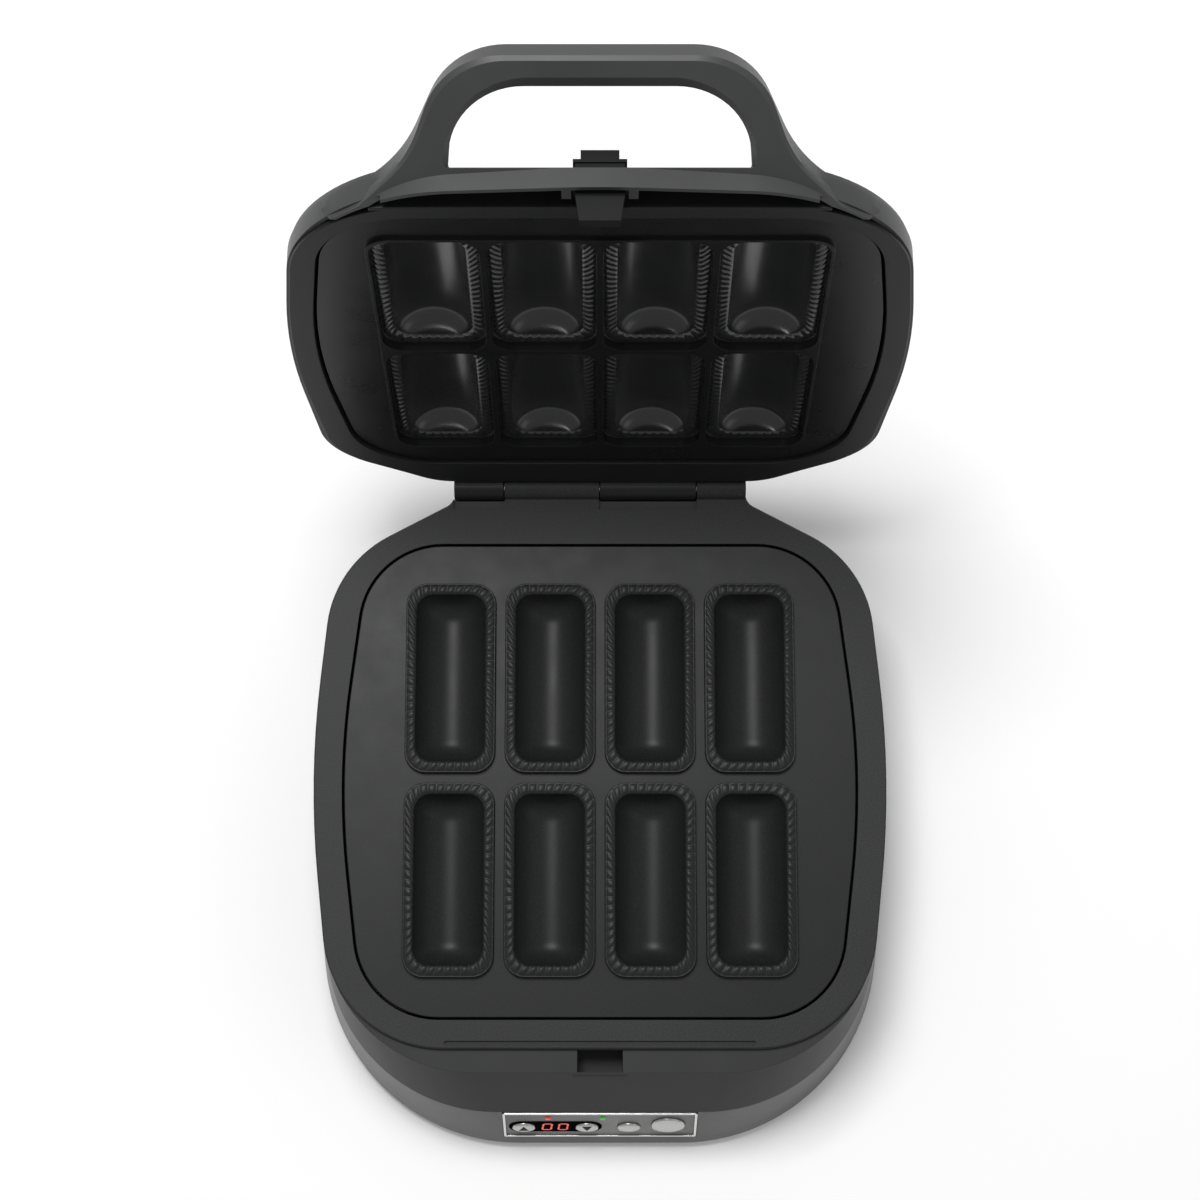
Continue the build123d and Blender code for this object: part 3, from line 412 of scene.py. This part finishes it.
def remade(face, plate):
    """Whether a face is a mould's faceted wall or the flat top of its pad."""
    corners = [from_mould(corner.co, plate) for corner in face.verts]
    middle_level = from_mould(face.calc_center_median(), plate)[2]
    wall = (plate.axis - middle_level) * plate.direction > HOLLOW_LEVEL + FACE_DEEPER
    top = True
    for x, s, n in corners:
        depth = (plate.axis - n) * plate.direction
        wall = wall and s < HOLLOW_HALF and depth > HOLLOW_LEVEL
        wall = wall and math.hypot(x, depth) < HOLLOW_RADIUS
        top = top and abs(n - plate.level) < LEVEL_NEAR
        top = top and x < plate.pad[0] + PAD_NEAR and s < plate.pad[1] + PAD_NEAR
    return wall or top


# ---------------------------------------------------------------- mouldings with rounded edges
def edge_rounded(node, body, width, segments=3):
    """A copy of a CAD node with its sharp edges rounded and its flat faces kept flat.

    The copy is welded, loses the mould walls and pad tops that are made anew below, and has the
    triangles of each flat face joined before the bevel.
    """
    name = node + "_moulding"
    work = bmesh.new()
    work.from_mesh(NODES[node].data)
    bmesh.ops.remove_doubles(work, verts=work.verts, dist=1e-6)
    if node in PLATES:
        old = [face for face in work.faces if remade(face, PLATES[node])]
        bmesh.ops.delete(work, geom=old, context="FACES")
    bmesh.ops.dissolve_limit(
        work, angle_limit=math.radians(0.4), verts=work.verts, edges=work.edges
    )
    mesh = bpy.data.meshes.new(name)
    work.to_mesh(mesh)
    work.free()
    mesh.polygons.foreach_set("use_smooth", [True] * len(mesh.polygons))
    mesh.materials.clear()
    mesh.materials.append(node_material[node])
    piece = bpy.data.objects.new(name, mesh)
    bpy.context.scene.collection.objects.link(piece)
    bevel = piece.modifiers.new("edges", "BEVEL")
    bevel.width = width
    bevel.segments = segments
    bevel.limit_method = "ANGLE"
    bevel.angle_limit = math.radians(32)
    bevel.use_clamp_overlap = True
    even = piece.modifiers.new("even", "WEIGHTED_NORMAL")
    even.keep_sharp = True
    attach(piece, body)
    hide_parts(node)


edge_rounded("lid_top_cover", "lid", 0.0022, 4)
edge_rounded("handle_under_cover", "lid", 0.0018, 4)
edge_rounded("lid_inner_frame", "lid", 0.0009)
edge_rounded("upper_cooking_plate", "lid", 0.0005, 2)
edge_rounded("lower_cooking_plate", "base", 0.0006, 2)
edge_rounded("base_rim_frame", "base", 0.0008)
edge_rounded("base_upper_housing", "base", 0.0010)
edge_rounded("base_lower_shell", "base", 0.0010)
edge_rounded("latch_lever", "latch", 0.0006)
edge_rounded("panel_bezel", "base", 0.0003, 2)


# ---------------------------------------------------------------- borders and walls of the moulds
def rounded_loop(half, radius, count):
    """Points of a rounded rectangle, evenly spaced along its length."""
    sx, sy = half[0] - radius, half[1] - radius
    arc = radius * math.pi / 2
    lengths = np.array([2 * sy, arc, 2 * sx, arc, 2 * sy, arc, 2 * sx, arc])
    ends = np.concatenate([[0], np.cumsum(lengths)])
    t = np.arange(count) / count * ends[-1]
    leg = np.searchsorted(ends, t, side="right") - 1
    u = (t - ends[leg]) / lengths[leg]
    corners = np.array([(sx, -sy), (sx, sy), (-sx, sy), (-sx, -sy)], float)
    quarter = leg // 2
    straight = leg % 2 == 0
    angle = quarter * math.pi / 2 + np.where(straight, 0, u * math.pi / 2)
    outward = radius * np.stack([np.cos(angle), np.sin(angle)], axis=-1)
    start, end = corners[quarter], corners[(quarter + 1) % 4]
    return outward + np.where(straight[:, None], start + (end - start) * u[:, None], end)


def crimp_border(plate):
    """Rope-like ring round one mould, out to the pad's edge: offsets across, along and up.

    Teeth lean across a band whose section is a low arch, the 0.4th power of half a sine. A tooth
    is the 0.6th power of a sine whose phase grows along the ring and, to lean, across it. The
    height is the band's plus the tooth's, which shrinks towards the outside, times the arch.
    """
    count = TEETH * 12
    inner = rounded_loop(MOULD_HALF, MOULD_CORNER, count)
    outer = rounded_loop(plate.crimp, CRIMP_CORNER, count)
    edge = rounded_loop(plate.pad, PAD_CORNER, count)
    v = np.linspace(0, 1, 9)[None, :]
    flat = inner[:, None] + (outer - inner)[:, None] * v[..., None]
    flat = np.concatenate([flat, edge[:, None]], axis=1)
    phase = (np.arange(count) / count * TEETH)[:, None] + LEAN * v
    tooth = np.abs(np.sin(math.pi * phase)) ** 0.6
    arch = np.clip(np.sin(math.pi * v), 0, 1) ** 0.4
    height = -EDGE_SUNK + (BAND_HIGH + TOOTH_HIGH * tooth * (1 - TOOTH_LOSS * v)) * arch
    height = np.concatenate([height, np.full((count, 1), -RIM_SUNK)], axis=1)
    return flat[..., 0], -flat[..., 1], height


def mould_wall(plate):
    """Inside of one mould, hung from its border's inner edge: offsets across, along and up.

    Across, each section is an arc of 152 degrees, stretched to the border's inner width there.
    Along, the depth is deep, and falls over the last run millimetres as a quarter of an ellipse.
    """
    half_x, half_s = MOULD_HALF
    s = half_s * np.sin(np.linspace(-1, 1, 65) * math.pi / 2)[:, None]
    past = np.clip(np.abs(s) - (half_s - MOULD_CORNER), 0, MOULD_CORNER)
    width = half_x - MOULD_CORNER + np.sqrt(MOULD_CORNER**2 - past**2)
    end = np.clip((np.abs(s) - half_s + plate.run) / plate.run, 0, 1)
    depth = plate.deep * np.sqrt(1 - end**2)
    limit = math.acos(ARC_LEVEL / ARC_RADIUS)
    turn = np.linspace(-limit, limit, 33)[None, :]
    x = width * np.sin(turn) / math.sin(limit)
    fall = depth * (np.cos(turn) - math.cos(limit)) / (1 - math.cos(limit))
    return x, s + 0 * turn, -EDGE_SUNK - fall


def eight_moulds(name, plate, offsets, closed, flip):
    """One mesh with the same surface at all eight moulds of a plate."""
    x, s, height = offsets
    faces = grid_faces(*height.shape, closed, flip)
    points, quads = [], []
    for column in range(4):
        for row in (-0.5, 0.5):
            quads.append(faces + height.size * len(quads))
            grid = plate.points(
                (column - 1.5) * PITCH_X + x,
                BLOCK_MIDDLE + row * PITCH_S + s,
                plate.level + plate.direction * height,
            )
            points.append(grid.reshape(-1, 3))
    points, quads = np.concatenate(points), np.concatenate(quads)
    mesh_piece(name, points, quads.tolist(), plate.finish, plate.body)


eight_moulds("upper_crimping", UPPER, crimp_border(UPPER), closed="u", flip=False)
eight_moulds("lower_crimping", LOWER, crimp_border(LOWER), closed="u", flip=True)
eight_moulds("upper_mould_walls", UPPER, mould_wall(UPPER), closed="", flip=True)
eight_moulds("lower_mould_walls", LOWER, mould_wall(LOWER), closed="", flip=False)


# ---------------------------------------------------------------- panel graphics
# The front band falls 42 mm while it runs 16.5 mm forward. The panel's middle lies 17.3 mm down
# it from its top edge, which is 332.5 mm in front of the hinge pin and 34 mm below it.
RUN, FALL = 16.5, 42.0
SLANT = math.hypot(RUN, FALL)
DOWN = 17.3
TOP_AHEAD, TOP_BELOW = 332.5, 34
PANEL_Y = Vector((0, RUN / SLANT, FALL / SLANT))
PANEL_Z = Vector((0, -FALL / SLANT, RUN / SLANT))
PANEL_ORIGIN = Vector(
    (
        0,
        HINGE_Y - (TOP_AHEAD + DOWN * RUN / SLANT) * MM,
        HINGE_Z - (TOP_BELOW + DOWN * FALL / SLANT) * MM,
    )
)


def panel_points(x, y, z):
    """Arrays of panel coordinates in millimetres as points in metres."""
    place = [x * MM]
    for axis in (1, 2):
        place.append(PANEL_ORIGIN[axis] + (y * PANEL_Y[axis] + z * PANEL_Z[axis]) * MM)
    return np.stack(np.broadcast_arrays(*place), axis=-1)


def panel_shape(name, outline, low, high, finish, body):
    """Flat shape on the panel: an outline carried from one depth to another and capped."""
    count = len(outline)
    points = np.concatenate(
        [panel_points(outline[:, 0], outline[:, 1], np.full(count, z)) for z in (low, high)]
    )
    ring = np.arange(count)
    sides = np.stack([ring, np.roll(ring, -1), np.roll(ring, -1) + count, ring + count], axis=-1)
    caps = [(ring + count).tolist(), ring[::-1].tolist()]
    mesh_piece(name, points, sides.tolist() + caps, finish, body, smooth=False)


def segment(centre, length, width, upright):
    """Six-cornered bar of a seven-segment digit, leaning a tenth of its height."""
    a, b = length / 2, width / 2
    bar = np.array([(-a, 0), (-a + b, -b), (a - b, -b), (a, 0), (a - b, b), (-a + b, b)])
    if upright:
        bar = np.stack([-bar[:, 1], bar[:, 0]], axis=-1)
    bar = bar + centre
    bar[:, 0] += 0.1 * bar[:, 1]
    return bar


# Places of the buttons, lamps and digits across and up the panel.
BUTTON_Y, ROUND_Y, LAMP_Y = -3.2, -0.2, 8.9
UP_X, DOWN_X, OVAL_X, ROUND_X = -41, -7, 15.5, 36.6
TENS_X, UNITS_X = -28.4, -19.8
HEATING_X, READY_X = -27.8, 1.5
OVAL, ROUND, LAMP = (6.05, 5.05), (8.95, 8.95), (1.75, 1.75)  # half width and half height

DIGIT_W, DIGIT_H, BAR_WIDTH, BAR_GAP = 4.6, 8.2, 1.0, 0.3
DIGIT_LOW, DIGIT_HIGH = 0.25, 0.38
for digit, middle in (("tens", TENS_X), ("units", UNITS_X)):
    bars = [((0, y), False) for y in (-DIGIT_H / 2, DIGIT_H / 2)]
    for x in (-DIGIT_W / 2, DIGIT_W / 2):
        bars += [((x, y), True) for y in (-DIGIT_H / 4, DIGIT_H / 4)]
    for number, (centre, upright) in enumerate(bars):
        length = (DIGIT_H / 2 if upright else DIGIT_W) - BAR_GAP
        bar = segment(np.array(centre), length, BAR_WIDTH, upright) + (middle, BUTTON_Y)
        panel_shape(f"digit_{digit}_{number}", bar, DIGIT_LOW, DIGIT_HIGH, "digit_red", "base")


def dome(r, foot, rise):
    """Height of a cap at r times its radius: it falls by 0.55 r squared and 0.45 r to the 6th."""
    return foot + rise * (1 - 0.55 * r**2 - 0.45 * r**6)


def domed_cap(name, centre, radii, foot, rise, finish, body):
    """Dome over an oval, closer ringed towards its edge, with a skirt 1.1 mm down."""
    rings, spokes = 14, 56
    r = np.linspace(0, 1, rings)[1:, None] ** 0.7
    angle = np.linspace(0, 2 * math.pi, spokes, endpoint=False)[None, :]
    x = centre[0] + radii[0] * r * np.cos(angle)
    y = centre[1] + radii[1] * r * np.sin(angle)
    top = panel_points(x, y, dome(r, foot, rise) + 0 * angle)
    skirt = panel_points(x[-1], y[-1], np.full(spokes, foot - 1.1))
    points = np.concatenate([top, skirt[None]], axis=0).reshape(-1, 3)
    crown = [np.arange(spokes).tolist()]
    faces = grid_faces(rings, spokes, closed="v").tolist() + crown
    mesh_piece(name, points, faces, finish, body)


def triangle_print(name, centre, pointing, foot, rise, radii, body):
    """Printed triangle that lies 0.06 mm over a domed cap: its width falls evenly to its tip."""
    half, height, shift = 2.7, 5.2, 1.0
    u, v = np.meshgrid(np.linspace(-1, 1, 9), np.linspace(0, 1, 7), indexing="ij")
    x = half * u * (1 - v * 0.98)
    y = pointing * (height * v - height / 2) + shift
    r = np.sqrt((x / radii[0]) ** 2 + (y / radii[1]) ** 2)
    points = panel_points(centre[0] + x, centre[1] + y, dome(r, foot, rise) + 0.06)
    faces = grid_faces(9, 7, flip=pointing < 0).tolist()
    mesh_piece(name, points.reshape(-1, 3), faces, "dark_print", body)


CAP_FOOT, CAP_RISE = 1.2, 0.8
LENS_FOOT, LENS_RISE = 0.4, 0.5
for name, x, y, radii in (
    ("time_up_button", UP_X, BUTTON_Y, OVAL),
    ("time_down_button", DOWN_X, BUTTON_Y, OVAL),
    ("extra_time_button", OVAL_X, BUTTON_Y, OVAL),
    ("start_button", ROUND_X, ROUND_Y, ROUND),
):
    domed_cap(name + "_cap", (x, y), radii, CAP_FOOT, CAP_RISE, "button_silver", name + "_body")
for name, x, pointing in (("time_up", UP_X, 1), ("time_down", DOWN_X, -1)):
    triangle_print(
        name + "_mark",
        (x, BUTTON_Y),
        pointing,
        CAP_FOOT,
        CAP_RISE,
        OVAL,
        name + "_button_body",
    )
for name, x, finish in (
    ("heating_lamp", HEATING_X, "lamp_red"),
    ("ready_lamp", READY_X, "lamp_green"),
):
    domed_cap(name + "_lens", (x, LAMP_Y), LAMP, LENS_FOOT, LENS_RISE, finish, "base")


# ---------------------------------------------------------------- stage, light and camera
paint = Finish("pale_floor", (0.96, 0.96, 0.96), 0.9, Specular_IOR_Level=0.1)
floor_mesh = bpy.data.meshes.new("floor")
floor_mesh.from_pydata([(-4, -4, 0), (4, -4, 0), (4, 4, 0), (-4, 4, 0)], [], [(0, 1, 2, 3)])
floor = bpy.data.objects.new("floor", floor_mesh)
bpy.context.scene.collection.objects.link(floor)
floor.data.materials.append(paint.material)

world = bpy.data.worlds.new("studio")
bpy.context.scene.world = world
world.use_nodes = True
background = world.node_tree.nodes["Background"]
background.inputs["Color"].default_value = (1.0, 1.0, 1.0, 1.0)
background.inputs["Strength"].default_value = 0.47


def softbox(name, place, size, power):
    """Rectangular studio light that faces the middle of the base."""
    lamp = bpy.data.lights.new(name, "AREA")
    lamp.shape = "RECTANGLE"
    lamp.size, lamp.size_y = size
    lamp.energy = power
    box = bpy.data.objects.new(name, lamp)
    bpy.context.scene.collection.objects.link(box)
    box.location = place
    aim = Vector((0, 0, 0.1)) - Vector(place)
    box.rotation_euler = aim.to_track_quat("-Z", "Y").to_euler()


softbox("key", (-0.30, 0.70, 2.1), (0.8, 0.8), 35)
softbox("fill", (1.6, -0.6, 1.4), (0.9, 1.2), 2)

# The camera was solved from the photograph. Its place is from the hinge pin, in metres, and it
# looks down by so many degrees.
CAMERA_AHEAD, CAMERA_ABOVE, CAMERA_DOWN = 0.331778, 1.374249, 78.882
camera_data = bpy.data.cameras.new("camera")
camera_data.sensor_width = 36
camera_data.lens = 77.95
camera_data.clip_start = 0.05
camera = bpy.data.objects.new("camera", camera_data)
bpy.context.scene.collection.objects.link(camera)
camera.location = (0, HINGE_Y - CAMERA_AHEAD, HINGE_Z + CAMERA_ABOVE)
camera.rotation_euler = (math.radians(90 - CAMERA_DOWN), 0, 0)
bpy.context.scene.camera = camera
bpy.context.scene.view_settings.view_transform = "Standard"
